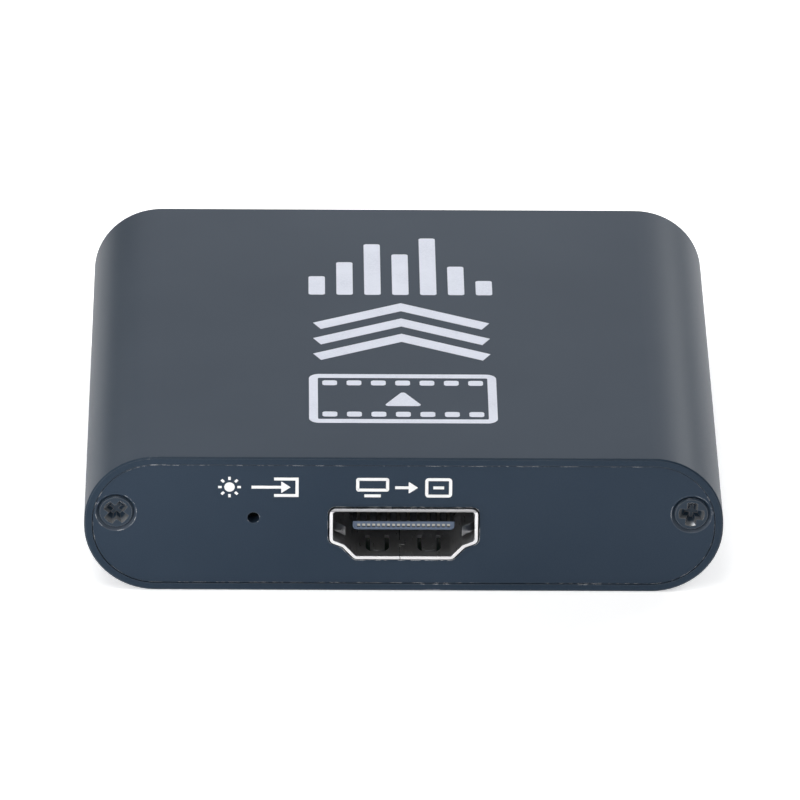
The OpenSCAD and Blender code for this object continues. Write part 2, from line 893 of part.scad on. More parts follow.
module circuit_board() {
    color([0.05, 0.09, 0.08])
        difference() {
            translate([-board_w / 2, -board_d / 2, board_z])
                cube([board_w, board_d, board_t]);
            at_front() {
                on_board_end()
                    video_legs(hole_gap);
                light_leads_form(hole_gap);
            }
            at_rear() {
                on_board_end() {
                    data_legs(hole_gap);
                    all_data_contacts(hole_gap);
                }
                light_leads_form(hole_gap);
            }
        }
}

// Domed lens of a pilot light, pointing at the hole in its end plate
module light_lens() {
    r = lens_d / 2;
    translate([-light_x, lens_y, light_z])
        rotate([-90, 0, 0])
            union() {
                translate([0, 0, r])
                    sphere(r = r);
                translate([0, 0, r])
                    cylinder(h = lens_len - r, r = r);
                translate([0, 0, lens_len - lens_flange_t])
                    cylinder(h = lens_flange_t, d = lens_flange_d);
            }
}

// The two leads of a pilot light, bent down through the board
module light_leads_form(extra) {
    w = lead_w + 2 * extra;
    low = board_z - pin_stub;
    for (side = [-lead_pitch / 2, lead_pitch / 2])
        translate([-light_x + side, 0, 0]) {
            translate([-w / 2, lens_y + lens_len + seat_gap, light_z - lead_w / 2 - extra])
                cube([w, lead_y - lens_y - lens_len - seat_gap, w]);
            translate([-w / 2, lead_y - lead_w - extra, low])
                cube([w, w, light_z + lead_w / 2 + extra - low]);
        }
}

module front_light_lens() {
    color([0.75, 0.90, 0.80])
        at_front()
            light_lens();
}

module front_light_leads() {
    color([0.70, 0.70, 0.70])
        at_front()
            light_leads_form(0);
}

module rear_light_lens() {
    color([0.75, 0.90, 0.80])
        at_rear()
            light_lens();
}

module rear_light_leads() {
    color([0.70, 0.70, 0.70])
        at_rear()
            light_leads_form(0);
}

// Moulded chip body with the round mark of its first lead
module chip_body(w, d, h, lift) {
    mark = min(w, d) / 10;
    difference() {
        translate([-w / 2, -d / 2, lift])
            cube([w, d, h - lift]);
        translate([-w / 2 + 2 * mark, d / 2 - 2 * mark, h - lead_t / 2])
            cylinder(h = past, r = mark);
    }
}

// Row of bent leads along the +X side of a chip
module lead_row(chip, height, count, pitch, w) {
    mid = height / 2;
    for (i = [0:count - 1])
        translate([chip / 2, (i - (count - 1) / 2) * pitch - w / 2, 0]) {
            translate([seat_gap, 0, mid])
                cube([lead_reach / 2 - seat_gap, w, lead_t]);
            translate([lead_reach / 2 - lead_t, 0, 0])
                cube([lead_t, w, mid + lead_t]);
            translate([lead_reach / 2 - lead_t, 0, 0])
                cube([lead_reach / 2 + lead_t, w, lead_t]);
        }
}

module capture_chip() {
    color([0.10, 0.10, 0.11])
        on_board(capture_at)
            chip_body(capture_w, capture_w, capture_h, 0);
}

module video_receiver_chip() {
    color([0.10, 0.10, 0.11])
        on_board(receiver_at)
            chip_body(receiver_w, receiver_w, receiver_h, seat_gap);
}

module video_receiver_leads() {
    color([0.75, 0.75, 0.75])
        on_board(receiver_at)
            for (turn = [0:90:270])
                rotate([0, 0, turn])
                    lead_row(receiver_w, receiver_h, receiver_leads, receiver_pitch, fine_lead_w);
}

module frame_memory_chip() {
    color([0.10, 0.10, 0.11])
        on_board(memory_at)
            chip_body(memory_w, memory_d, memory_h, 0);
}

module firmware_chip() {
    color([0.10, 0.10, 0.11])
        on_board(firmware_at)
            chip_body(firmware_w, firmware_d, firmware_h, seat_gap);
}

module firmware_chip_leads() {
    color([0.75, 0.75, 0.75])
        on_board(firmware_at)
            for (turn = [0, 180])
                rotate([0, 0, turn])
                    lead_row(firmware_w, firmware_h, firmware_leads, firmware_pitch, wide_lead_w);
}

module at_inductors() {
    for (i = [0:inductors - 1])
        on_board(inductor_at - [i * inductor_pitch, 0])
            children();
}

module at_regulators() {
    at_inductors()
        translate([0, regulator_step, 0])
            rotate([0, 0, 90])
                children();
}

module voltage_regulators() {
    color([0.10, 0.10, 0.11])
        at_regulators()
            chip_body(regulator_d, regulator_w, regulator_h, seat_gap);
}

module voltage_regulator_leads() {
    color([0.75, 0.75, 0.75])
        at_regulators() {
            lead_row(regulator_d, regulator_h, 3, regulator_pitch, wide_lead_w);
            rotate([0, 0, 180])
                lead_row(regulator_d, regulator_h, 2, 2 * regulator_pitch, wide_lead_w);
        }
}

// Surge guards in a row behind the video port's contacts
module surge_guards() {
    color([0.10, 0.10, 0.11])
        at_front()
            for (i = [-1:1])
                translate([
                    i * guard_pitch,
                    -port_proud + video_d + lead_reach + chip_space + guard_d / 2,
                    board_top + seat_gap,
                ])
                    chip_body(guard_w, guard_d, guard_h, 0);
}

// Can of a crystal: a lid set in from its base
module crystal_can() {
    rim = crystal_h / 4;
    translate([-crystal_w / 2, -crystal_d / 2, 0])
        cube([crystal_w, crystal_d, crystal_h - rim]);
    translate([-crystal_w / 2 + rim, -crystal_d / 2 + rim, 0])
        cube([crystal_w - 2 * rim, crystal_d - 2 * rim, crystal_h]);
}

module crystals() {
    color([0.80, 0.79, 0.74]) {
        on_board(capture_crystal_at)
            crystal_can();
        on_board(receiver_crystal_at)
            crystal_can();
    }
}

// Inductors with a square foot and top round a wound middle
module power_inductors() {
    flange = inductor_h / 5;
    color([0.30, 0.29, 0.28])
        at_inductors() {
            for (z = [0, inductor_h - flange])
                translate([-inductor_w / 2, -inductor_w / 2, z])
                    cube([inductor_w, inductor_w, flange]);
            cylinder(h = inductor_h, d = inductor_core_d);
        }
}

module bulk_capacitors() {
    color([0.80, 0.62, 0.22])
        for (i = [0, 1])
            on_board([0, bulk_y - i * bulk_pitch])
                translate([-bulk_w / 2, -bulk_d / 2, 0])
                    cube([bulk_w, bulk_d, bulk_h]);
}

module small_chip(h) {
    translate([-chip_w / 2, -chip_d / 2, 0])
        cube([chip_w, chip_d, h]);
}

// Row of capacitors along the +X side of a chip
module ceramic_row(chip, count) {
    for (i = [0:count - 1])
        translate([chip / 2 + chip_space + chip_d / 2, (i - (count - 1) / 2) * chip_pitch, 0])
            rotate([0, 0, 90])
                small_chip(ceramic_h);
}

module ceramic_capacitors() {
    color([0.72, 0.62, 0.48]) {
        on_board(capture_at)
            for (turn = [0:90:270])
                rotate([0, 0, turn])
                    ceramic_row(capture_w, 3);
        on_board(receiver_at)
            for (turn = [0:90:270])
                rotate([0, 0, turn])
                    ceramic_row(receiver_w + 2 * lead_reach, 4);
        on_board(memory_at)
            rotate([0, 0, 180])
                ceramic_row(memory_w, 5);
    }
}

// Resistors in a row behind the surge guards
module chip_resistors() {
    y = -port_proud + video_d + lead_reach + 2 * chip_space + guard_d + chip_w / 2;
    color([0.08, 0.08, 0.08])
        at_front()
            for (i = [0:resistors - 1])
                translate([(i - (resistors - 1) / 2) * chip_pitch, y, board_top + seat_gap])
                    rotate([0, 0, 90])
                        small_chip(resistor_h);
}

case_extrusion();
front_plate();
rear_plate();
front_plate_screws();
rear_plate_screws();
circuit_board();
video_port_shell();
video_port_tongue();
video_port_contacts();
data_port_shell();
data_port_tongue();
data_port_contacts();
front_light_lens();
front_light_leads();
rear_light_lens();
rear_light_leads();
capture_chip();
video_receiver_chip();
video_receiver_leads();
frame_memory_chip();
firmware_chip();
firmware_chip_leads();
voltage_regulators();
voltage_regulator_leads();
surge_guards();
crystals();
power_inductors();
bulk_capacitors();
ceramic_capacitors();
chip_resistors();
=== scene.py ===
"""Looks of a small video capture box: finishes for its solids, printed marks, studio light and camera.

Metres, +Z up, front end with the video socket facing -Y, origin in the middle of the underside.
"""
import logging
import math
from dataclasses import dataclass
from enum import Enum
from functools import cache

import bpy
import numpy as np
from mathutils import Matrix, Vector


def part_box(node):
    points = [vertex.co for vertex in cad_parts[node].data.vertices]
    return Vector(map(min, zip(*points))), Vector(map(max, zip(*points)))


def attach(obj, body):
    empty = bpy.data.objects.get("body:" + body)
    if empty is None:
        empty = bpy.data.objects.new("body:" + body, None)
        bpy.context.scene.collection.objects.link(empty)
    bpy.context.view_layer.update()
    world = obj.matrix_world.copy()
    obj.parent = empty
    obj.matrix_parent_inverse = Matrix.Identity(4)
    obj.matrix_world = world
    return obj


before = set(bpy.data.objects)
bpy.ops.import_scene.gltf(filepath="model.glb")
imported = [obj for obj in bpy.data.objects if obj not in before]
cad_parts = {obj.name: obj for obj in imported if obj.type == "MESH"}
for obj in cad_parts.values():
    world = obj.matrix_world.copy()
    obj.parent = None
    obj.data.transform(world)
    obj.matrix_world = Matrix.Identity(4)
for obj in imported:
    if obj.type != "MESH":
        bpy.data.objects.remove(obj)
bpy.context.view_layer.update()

MM = 0.001
BODY = "root"
ARC_STEPS = 8
INK_PROUD = 0.015 * MM
INK_SUNK = 0.01 * MM
INK_SHOULDER = 0.03 * MM
NOISE_SPAN = (0.3, 0.7)        # nearly all of a noise value lies between these
TARNISH_SPAN = (0.35, 0.7)
SPECK_SPAN = (0.46, 0.58)
EDGE_SPAN = (0.995, 0.93)      # cosine of the rounded normal's turn, off an edge and on it
FINE_DETAIL = 3.0              # finer layers of a noise value
PATCH_DETAIL = 4.0
BEVEL_SAMPLES = 6

Colour = tuple[float, float, float]
Socket = bpy.types.NodeSocket
log = logging.getLogger("capture_box")


def rgba(colour: Colour) -> tuple[float, float, float, float]:
    """Returns a linear colour with full opacity."""
    return (*colour, 1.0)


class Tree:
    """Adds and joins the nodes of one shader tree."""

    def __init__(self, tree: bpy.types.NodeTree) -> None:
        """Keeps the tree that the nodes go into."""
        self.tree = tree

    def join(self, value: object, socket: Socket) -> None:
        """Links an output to a socket, or sets a plain value on it.

        Args:
            value: an output socket, a number, a vector or a colour.
            socket: the input socket that takes it.
        """
        if isinstance(value, Socket):
            self.tree.links.new(value, socket)
        elif isinstance(value, tuple) and len(value) == 3 and socket.type == "RGBA":
            socket.default_value = rgba(value)
        else:
            socket.default_value = value

    def add(self, kind: str, inputs: dict | None = None, **attributes: object) -> bpy.types.Node:
        """Adds one node.

        Args:
            kind: Blender's name of the node's class, after "ShaderNode".
            inputs: values or output sockets by input name or number.
            attributes: properties of the node, set before its inputs.

        Returns:
            The new node.
        """
        node = self.tree.nodes.new("ShaderNode" + kind)
        for name, value in attributes.items():
            setattr(node, name, value)
        for key, value in (inputs or {}).items():
            self.join(value, node.inputs[key])
        return node

    def calc(self, operation: str, *values: object) -> Socket:
        """Returns the result of a Math node on one to three values."""
        return self.add("Math", dict(enumerate(values)), operation=operation).outputs[0]

    def mix(self, share: object, first: object, second: object) -> Socket:
        """Returns a colour between two colours, by the Mix node's colour sockets."""
        return self.add("Mix", {0: share, 6: first, 7: second}, data_type="RGBA").outputs[2]

    def spread(self, value: object, low: object, high: object) -> Socket:
        """Returns a value stretched so that low becomes 0 and high becomes 1, clamped between them."""
        return self.add("MapRange", {"Value": value, "From Min": low, "From Max": high}).outputs[0]

    def noise(self, where: Socket, fineness: object, detail: float = 2.0) -> Socket:
        """Returns a noise value.

        Args:
            where: coordinates in metres.
            fineness: waves to a metre.
            detail: how many finer layers are added.

        Returns:
            The noise, mostly between 0.3 and 0.7.
        """
        return self.add("TexNoise", {"Vector": where, "Scale": fineness, "Detail": detail}).outputs[0]

    def stretch(self, where: Socket, scale: object) -> Socket:
        """Returns coordinates scaled by a vector."""
        return self.add("VectorMath", {0: where, 1: scale}, operation="MULTIPLY").outputs[0]


class Effect(Tree):
    """Shader node group of an effect that several finishes share."""

    def __init__(self, name: str, numbers: dict[str, float], results: tuple[str, ...]) -> None:
        """Makes the group with a Where input for coordinates.

        Args:
            name: name of the group.
            numbers: its number inputs, with the values that they start at.
            results: names of its outputs, each a value over the surface.
        """
        super().__init__(bpy.data.node_groups.new(name, "ShaderNodeTree"))
        self.tree.interface.new_socket("Where", in_out="INPUT", socket_type="NodeSocketVector")
        for key, value in numbers.items():
            socket = self.tree.interface.new_socket(key, in_out="INPUT", socket_type="NodeSocketFloat")
            socket.default_value = value
        for key in results:
            self.tree.interface.new_socket(key, in_out="OUTPUT", socket_type="NodeSocketFloat")
        self.inputs = self.tree.nodes.new("NodeGroupInput").outputs
        self.outputs = self.tree.nodes.new("NodeGroupOutput").inputs


@cache
def grain_effect() -> bpy.types.NodeTree:
    """Makes the effect of a fine even grain and of wide faint patches.

    Returns:
        Its node group.
    """
    effect = Effect("surface_grain", {"Fineness": 8000.0, "Patches": 60.0}, ("Grain", "Patch"))
    where = effect.inputs["Where"]
    grain = effect.noise(where, effect.inputs["Fineness"], FINE_DETAIL)
    patch = effect.noise(where, effect.inputs["Patches"], PATCH_DETAIL)
    effect.join(effect.spread(grain, *NOISE_SPAN), effect.outputs["Grain"])
    effect.join(effect.spread(patch, *NOISE_SPAN), effect.outputs["Patch"])
    return effect.tree


@cache
def chips_effect() -> bpy.types.NodeTree:
    """Makes the effect of small bright chips in worn stretches of edges.

    Returns:
        Its node group.
    """
    numbers = {"Edge": 0.0, "Amount": 0.5, "Stretches": 130.0, "Specks": 1400.0,
               "Start": 0.72, "Gain": -0.2, "Fade": 0.08}
    effect = Effect("edge_chips", numbers, ("Chip",))
    given = effect.inputs
    stretches = effect.noise(given["Where"], given["Stretches"])
    specks = effect.noise(given["Where"], given["Specks"])
    reach = effect.calc("MULTIPLY_ADD", given["Amount"], given["Gain"], given["Start"])
    worn = effect.spread(stretches, reach, effect.calc("ADD", reach, given["Fade"]))
    spotted = effect.spread(specks, *SPECK_SPAN)
    chip = effect.calc("MULTIPLY", effect.calc("MULTIPLY", worn, spotted), given["Edge"])
    effect.join(chip, effect.outputs["Chip"])
    return effect.tree


@cache
def streaks_effect() -> bpy.types.NodeTree:
    """Makes the effect of the fine lines along Y that drawing leaves in sheet metal, and of its stains.

    Returns:
        Its node group.
    """
    numbers = {"Fineness": 9000.0, "Length": 0.05, "Stains": 700.0}
    effect = Effect("drawn_streaks", numbers, ("Streak", "Tarnish"))
    given = effect.inputs
    along = effect.add("CombineXYZ", {0: 1.0, 1: given["Length"], 2: 1.0}).outputs[0]
    lines = effect.noise(effect.stretch(given["Where"], along), given["Fineness"], FINE_DETAIL)
    tarnish = effect.noise(given["Where"], given["Stains"], PATCH_DETAIL)
    effect.join(effect.spread(lines, *NOISE_SPAN), effect.outputs["Streak"])
    effect.join(effect.spread(tarnish, *TARNISH_SPAN), effect.outputs["Tarnish"])
    return effect.tree


class Shader(Tree):
    """Node tree of one material, with its own surface shader and object coordinates."""

    def __init__(self, name: str) -> None:
        """Makes an empty material around one Principled shader.

        Args:
            name: name of the material.
        """
        self.material = bpy.data.materials.new(name)
        self.material.use_nodes = True
        super().__init__(self.material.node_tree)
        self.tree.nodes.clear()
        self.surface = self.add("BsdfPrincipled")
        self.add("OutputMaterial", {"Surface": self.surface.outputs[0]})
        self.where = self.add("TexCoord").outputs["Object"]

    def effect(self, group: bpy.types.NodeTree, **inputs: object) -> dict[str, Socket]:
        """Places a shared effect, on object coordinates.

        Args:
            group: the effect's node group.
            inputs: values or sockets for its inputs.

        Returns:
            The effect's outputs by name.
        """
        node = self.add("Group", {"Where": self.where, **inputs}, node_tree=group)
        return {socket.name: socket for socket in node.outputs}

    def along(self, axis: str) -> Socket:
        """Returns the place along the X, Y or Z axis, in metres."""
        return self.add("SeparateXYZ", {0: self.where}).outputs[axis]

    def soft_edge(self, radius: Socket | float) -> Socket:
        """Returns the surface's normal, rounded over within a radius of each sharp edge."""
        return self.add("Bevel", {"Radius": radius}, samples=BEVEL_SAMPLES).outputs[0]

    def edge(self, rounded: Socket) -> Socket:
        """Finds the sharp edges.

        Args:
            rounded: the rounded normal, which turns away from the flat one near an edge.

        Returns:
            1 on sharp edges and 0 away from them.
        """
        normal = self.add("NewGeometry").outputs["Normal"]
        turn = self.add("VectorMath", {0: normal, 1: rounded}, operation="DOT_PRODUCT").outputs["Value"]
        return self.spread(turn, *EDGE_SPAN)

    def bump(self, height: Socket, depth: float, normal: Socket) -> Socket:
        """Returns a normal roughened by a height of so many metres."""
        node = self.add("Bump", {"Strength": 1.0, "Distance": depth, "Height": height, "Normal": normal})
        return node.outputs[0]

    def finish(self, **inputs: object) -> bpy.types.Material:
        """Sets the surface shader's inputs.

        Args:
            inputs: values or sockets, by input name with _ for a space.

        Returns:
            The finished material.
        """
        for key, value in inputs.items():
            self.join(value, self.surface.inputs[key.replace("_", " ")])
        return self.material


@dataclass(frozen=True)
class ScrewHeads:
    """Places of the screw heads at either end, left and right of the middle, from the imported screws."""

    across: float
    height: float
    face: float

    @classmethod
    def packed(cls) -> "ScrewHeads":
        """Returns the heads' places, from the box round the front screws.

        Returns:
            The axes' distance from the middle, their height and the faces' distance from the middle.
        """
        lowest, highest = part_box("front_plate_screws")
        radius = (highest.z - lowest.z) / 2
        return cls(highest.x - radius, lowest.z + radius, -lowest.y)

    def within(self, shader: Shader, radius: float) -> Socket:
        """Finds the surroundings of the heads' axes, which run along Y.

        Args:
            shader: the shader of a material.
            radius: how far from an axis they reach.

        Returns:
            1 within the radius and 0 outside it.
        """
        off_x = shader.calc("SUBTRACT", shader.calc("ABSOLUTE", shader.along("X")), self.across)
        off_z = shader.calc("SUBTRACT", shader.along("Z"), self.height)
        square = shader.calc("MULTIPLY_ADD", off_x, off_x, shader.calc("MULTIPLY", off_z, off_z))
        return shader.calc("LESS_THAN", shader.calc("SQRT", square), radius)


@dataclass(frozen=True)
class SatinPaint:
    """Baked satin paint on metal, with a fine grain and small chips along its edges."""

    name: str
    colour: Colour
    patch_colour: Colour
    chip_colour: Colour = (0.8, 0.81, 0.83)
    roughness: float = 0.39
    uneven: float = 0.06
    gloss: float = 0.16
    chips: float = 0.5
    rub: float = 0.07
    bare_metal: float = 0.8
    edge_radius: float = 0.04 * MM
    wear_radius: float = 0.09 * MM
    grain_size: float = 0.13 * MM
    grain_depth: float = 0.002 * MM

    def worn_edge(self, shader: Shader) -> Socket:
        """Returns 1 along the edges, as far in as wear reaches, and 0 elsewhere."""
        return shader.edge(shader.soft_edge(self.wear_radius))

    def bare(self, shader: Shader) -> Socket:
        """Returns 1 where the paint is gone and 0 where it is whole; in SunkPaint it also holds painted
        light, and in DrivenScrew it fades out as painted shade deep in the recess.

        Args:
            shader: the paint's shader.

        Returns:
            The chips, and a little of every edge.
        """
        edge = self.worn_edge(shader)
        chip = shader.effect(chips_effect(), Edge=edge, Amount=self.chips)["Chip"]
        return shader.calc("MAXIMUM", chip, shader.calc("MULTIPLY", edge, self.rub))

    def material(self) -> bpy.types.Material:
        """Mixes the paint.

        Returns:
            The paint's material.
        """
        shader = Shader(self.name)
        rounded = shader.soft_edge(self.edge_radius)
        grain = shader.effect(grain_effect(), Fineness=1.0 / self.grain_size)
        # share of the chip colour: worn paint, plus painted light in SunkPaint and painted shade in
        # DrivenScrew
        bare = self.bare(shader)
        share = shader.calc("MULTIPLY", shader.calc("ADD", grain["Grain"], grain["Patch"]), 0.5)
        paint = shader.mix(share, self.colour, self.patch_colour)
        return shader.finish(
            Base_Color=shader.mix(bare, paint, self.chip_colour),
            Metallic=shader.calc("MULTIPLY", bare, self.bare_metal),
            Roughness=shader.calc("MULTIPLY_ADD", grain["Grain"], self.uneven, self.roughness),
            Specular_IOR_Level=self.gloss,
            Normal=shader.bump(grain["Grain"], self.grain_depth, rounded),
        )


@dataclass(frozen=True)
class SunkPaint(SatinPaint):
    """Paint of a plate with painted light in the lower half of its countersinks, lightening the shade that
    falls there.
    """

    heads: ScrewHeads = ScrewHeads.packed()
    sink_r: float = 2.1 * MM
    # share of the chip colour laid into the countersinks' lower half as painted light
    sink_rub: float = 0.05

    def bare(self, shader: Shader) -> Socket:
        """Returns the share of paint that is gone, together with the painted light in the countersinks.

        Args:
            shader: the paint's shader.

        Returns:
            The chips, the rubbed edges and painted light in the countersinks' lower half, which takes out
            their shade.
        """
        heads, reach = self.heads, self.sink_r / 2
        inside = heads.within(shader, self.sink_r)
        lower = shader.spread(shader.along("Z"), heads.height + reach, heads.height - reach)
        # painted light: the chip colour mixed thinly into the lower half of each countersink, against its
        # shade
        painted_sink_light = shader.calc("MULTIPLY", inside, shader.calc("MULTIPLY", lower, self.sink_rub))
        return shader.calc("MAXIMUM", super().bare(shader), painted_sink_light)


@dataclass(frozen=True)
class DrivenScrew(SatinPaint):
    """Blackened screws, rubbed down to dark metal by the driver in the recess and along the head's edge;
    deep in the recess the wear fades out as painted shade.
    """

    chip_colour: Colour = (0.3, 0.305, 0.31)
    heads: ScrewHeads = ScrewHeads.packed()
    recess_r: float = 1.4 * MM
    wall_from: float = 0.02 * MM
    # depth at which the wear has faded out, leaving black below it as painted shade
    wall_to: float = 0.5 * MM
    rim_wear: float = 0.5

    def bare(self, shader: Shader) -> Socket:
        """Returns the share of black that is gone, faded out deep in the recess as painted shade.

        Args:
            shader: the screws' shader.

        Returns:
            1 on the recess's walls, less towards its bottom as painted shade of the deep recess, and part of
            it along the head's edge.
        """
        top, root = self.heads.face - self.wall_from, self.heads.face - self.wall_to
        depth = shader.calc("ABSOLUTE", shader.along("Y"))
        # painted shade: the worn metal fades to black going down into the recess, darkening its bottom
        wall = shader.calc("MULTIPLY", shader.calc("LESS_THAN", depth, top), shader.spread(depth, root, top))
        recess = shader.calc("MULTIPLY", self.heads.within(shader, self.recess_r), wall)
        rim = shader.calc("MULTIPLY", self.worn_edge(shader), self.rim_wear)
        return shader.calc("MAXIMUM", recess, rim)


@dataclass(frozen=True)
class PlatedSheet:
    """Plated sheet metal with drawing lines and a little tarnish."""

    name: str
    colour: Colour
    tarnish_colour: Colour
    metal: float = 1.0
    stain: float = 0.5
    roughness: float = 0.23
    uneven: float = 0.06
    edge_radius: float = 0.1 * MM
    streak_size: float = 0.11 * MM
    streak_depth: float = 0.0006 * MM

    def rounding(self, shader: Shader) -> Socket | float:
        """Returns the radius that edges are rounded to."""
        return self.edge_radius

    def tint(self, shader: Shader, tarnish: Socket) -> Socket:
        """Returns the metal's colour, a little stained."""
        return shader.mix(shader.calc("MULTIPLY", tarnish, self.stain), self.colour, self.tarnish_colour)

    def material(self) -> bpy.types.Material:
        """Plates the sheet.

        Returns:
            The metal's material.
        """
        shader = Shader(self.name)
        rounded = shader.soft_edge(self.rounding(shader))
        lines = shader.effect(streaks_effect(), Fineness=1.0 / self.streak_size)
        return shader.finish(
            Base_Color=self.tint(shader, lines["Tarnish"]),
            Metallic=self.metal,
            Roughness=shader.calc("MULTIPLY_ADD", lines["Streak"], self.uneven, self.roughness),
            Normal=shader.bump(lines["Streak"], self.streak_depth, rounded),
        )


@dataclass(frozen=True)
class LippedSheet(PlatedSheet):
    """Plated sheet, rounded along its front rim alone, with painted shade on its upper lip, darkest at the
    lip's lower edge.
    """

    # grey painted onto the upper lip as painted shade
    dull_colour: Colour = (0.2, 0.205, 0.21)
    node: str = "video_port_shell"
    lip_h: float = 0.35 * MM
    fade_h: float = 0.4 * MM
    fade_to: float = 0.35
    rim_l: float = 0.35 * MM
    leaf_radius: float = 0.02 * MM

    def rounding(self, shader: Shader) -> Socket | float:
        """Returns the radius that edges are rounded to.

        Args:
            shader: the metal's shader.

        Returns:
            The rim's radius along the front, and the spring leaves' radius behind it.
        """
        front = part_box(self.node)[0].y
        rim = shader.calc("LESS_THAN", shader.along("Y"), front + self.rim_l)
        return shader.calc("MULTIPLY_ADD", rim, self.edge_radius - self.leaf_radius, self.leaf_radius)

    def tint(self, shader: Shader, tarnish: Socket) -> Socket:
        """Returns the metal's colour.

        Args:
            shader: the metal's shader.
            tarnish: where the plating is stained.

        Returns:
            The stained colour, with painted shade on the lip.
        """
        height, low = shader.along("Z"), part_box(self.node)[1].z - self.lip_h
        # painted shade: the upper lip darkened towards a grey, most at its lower edge
        lip = shader.calc("GREATER_THAN", height, low)
        fade = shader.add("MapRange", {"Value": height, "From Min": low, "From Max": low + self.fade_h,
                                       "To Min": 1.0, "To Max": self.fade_to}).outputs[0]
        plating = super().tint(shader, tarnish)
        return shader.mix(shader.calc("MULTIPLY", lip, fade), plating, self.dull_colour)


@dataclass(frozen=True)
class Moulding:
    """Moulded plastic or resin with an eroded-tool texture."""

    name: str
    colour: Colour
    patch_colour: Colour
    roughness: float = 0.43
    uneven: float = 0.15
    gloss: float = 0.4
    edge_radius: float = 0.06 * MM
    grain_size: float = 0.09 * MM
    grain_depth: float = 0.003 * MM
    patches: float = 400.0

    def tint(self, shader: Shader, patch: Socket) -> Socket:
        """Returns the plastic's colour, a little uneven in patches."""
        return shader.mix(patch, self.colour, self.patch_colour)

    def material(self) -> bpy.types.Material:
        """Moulds the plastic.

        Returns:
            The plastic's material.
        """
        shader = Shader(self.name)
        grain = shader.effect(grain_effect(), Fineness=1.0 / self.grain_size, Patches=self.patches)
        return shader.finish(
            Base_Color=self.tint(shader, grain["Patch"]),
            Roughness=shader.calc("MULTIPLY_ADD", grain["Grain"], self.uneven, self.roughness),
            Specular_IOR_Level=self.gloss,
            Normal=shader.bump(grain["Grain"], self.grain_depth, shader.soft_edge(self.edge_radius)),
        )


@dataclass(frozen=True)
class TippedMoulding(Moulding):
    """Moulding whose front face, at its lowest Y, is painted pale as painted light, the lit face of a dark
    moulding.
    """

    # pale colour of the front face: painted light
    tip_colour: Colour = (0.106, 0.143, 0.216)
    node: str = "video_port_tongue"
    tip_l: float = 0.06 * MM

    def tint(self, shader: Shader, patch: Socket) -> Socket:
        """Returns the plastic's colour, with painted light on the tip."""
        # painted light: the front face made pale where light falls on it
        tip = shader.calc("LESS_THAN", shader.along("Y"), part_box(self.node)[0].y + self.tip_l)
        return shader.mix(tip, super().tint(shader, patch), self.tip_colour)


@dataclass(frozen=True)
class BoardLaminate:
    """Glass laminate under solder mask, with copper tracks that show through it."""

    name: str
    mask_colour: Colour
    track_colour: Colour
    roughness: float = 0.28
    uneven: float = 0.1
    track_scale: float = 144.3     # of the wave texture, whose bands come every 2 pi / (20 scale) metres
    track_span: tuple[float, float] = (0.62, 0.7)
    block_fineness: float = 160.0
    block_split: float = 0.5
    weave_size: float = 0.45 * MM
    weave_depth: float = 0.004 * MM
    patches: float = 220.0
    patch_share: float = 0.15

    def material(self) -> bpy.types.Material:
        """Lays tracks in blocks that run along X or along Y, under the mask.

        Returns:
            The board's material.
        """
        shader = Shader(self.name)
        grain = shader.effect(grain_effect(), Fineness=1.0 / self.weave_size, Patches=self.patches)
        lanes = [
            shader.add("TexWave", {"Vector": shader.where, "Scale": self.track_scale, "Distortion": 0.0},
                       bands_direction=way).outputs[1]
            for way in ("X", "Y")
        ]
        blocks = shader.add("TexVoronoi", {"Vector": shader.where, "Scale": self.block_fineness},
                            distance="CHEBYCHEV")
        block = shader.add("SeparateColor", {0: blocks.outputs["Color"]}).outputs[0]
        choice = shader.calc("GREATER_THAN", block, self.block_split)
        lane = shader.add("Mix", {0: choice, 2: lanes[0], 3: lanes[1]}).outputs[0]
        track = shader.spread(lane, *self.track_span)
        tint = shader.mix(track, self.mask_colour, self.track_colour)
        patch = shader.calc("MULTIPLY", grain["Patch"], self.patch_share)
        return shader.finish(
            Base_Color=shader.mix(patch, tint, self.track_colour),
            Roughness=shader.calc("MULTIPLY_ADD", grain["Grain"], self.uneven, self.roughness),
            Normal=shader.bump(shader.calc("ADD", track, grain["Grain"]), self.weave_depth,
                               shader.soft_edge(self.weave_depth)),
        )


@dataclass(frozen=True)
class PrintInk:
    """Screen-printed ink, slightly thin where the mesh laid less of it."""

    name: str
    colour: Colour
    thin_colour: Colour
    roughness: float = 0.5
    uneven: float = 0.1
    gloss: float = 0.25
    mesh_size: float = 0.16 * MM
    mesh_depth: float = 0.002 * MM
    patches: float = 250.0

    def material(self) -> bpy.types.Material:
        """Mixes the ink.

        Returns:
            The ink's material.
        """
        shader = Shader(self.name)
        grain = shader.effect(grain_effect(), Fineness=1.0 / self.mesh_size, Patches=self.patches)
        thin = shader.calc("MULTIPLY", grain["Grain"], grain["Patch"])
        return shader.finish(
            Base_Color=shader.mix(thin, self.colour, self.thin_colour),
            Roughness=shader.calc("MULTIPLY_ADD", grain["Grain"], self.uneven, self.roughness),
            Specular_IOR_Level=self.gloss,
            Normal=shader.bump(grain["Grain"], self.mesh_depth, shader.soft_edge(INK_PROUD)),
        )


@dataclass(frozen=True)
class LensResin:
    """Clear resin of a pilot light, a little cloudy."""

    name: str
    colour: Colour
    cloud_colour: Colour
    roughness: float = 0.18
    uneven: float = 0.08
    clearness: float = 0.75
    refraction: float = 1.5
    fineness: float = 3000.0
    patches: float = 700.0

    def material(self) -> bpy.types.Material:
        """Mixes the resin.

        Returns:
            The resin's material.
        """
        shader = Shader(self.name)
        grain = shader.effect(grain_effect(), Fineness=self.fineness, Patches=self.patches)
        return shader.finish(
            Base_Color=shader.mix(grain["Patch"], self.colour, self.cloud_colour),
            Roughness=shader.calc("MULTIPLY_ADD", grain["Grain"], self.uneven, self.roughness),
            Transmission_Weight=self.clearness,
            IOR=self.refraction,
        )


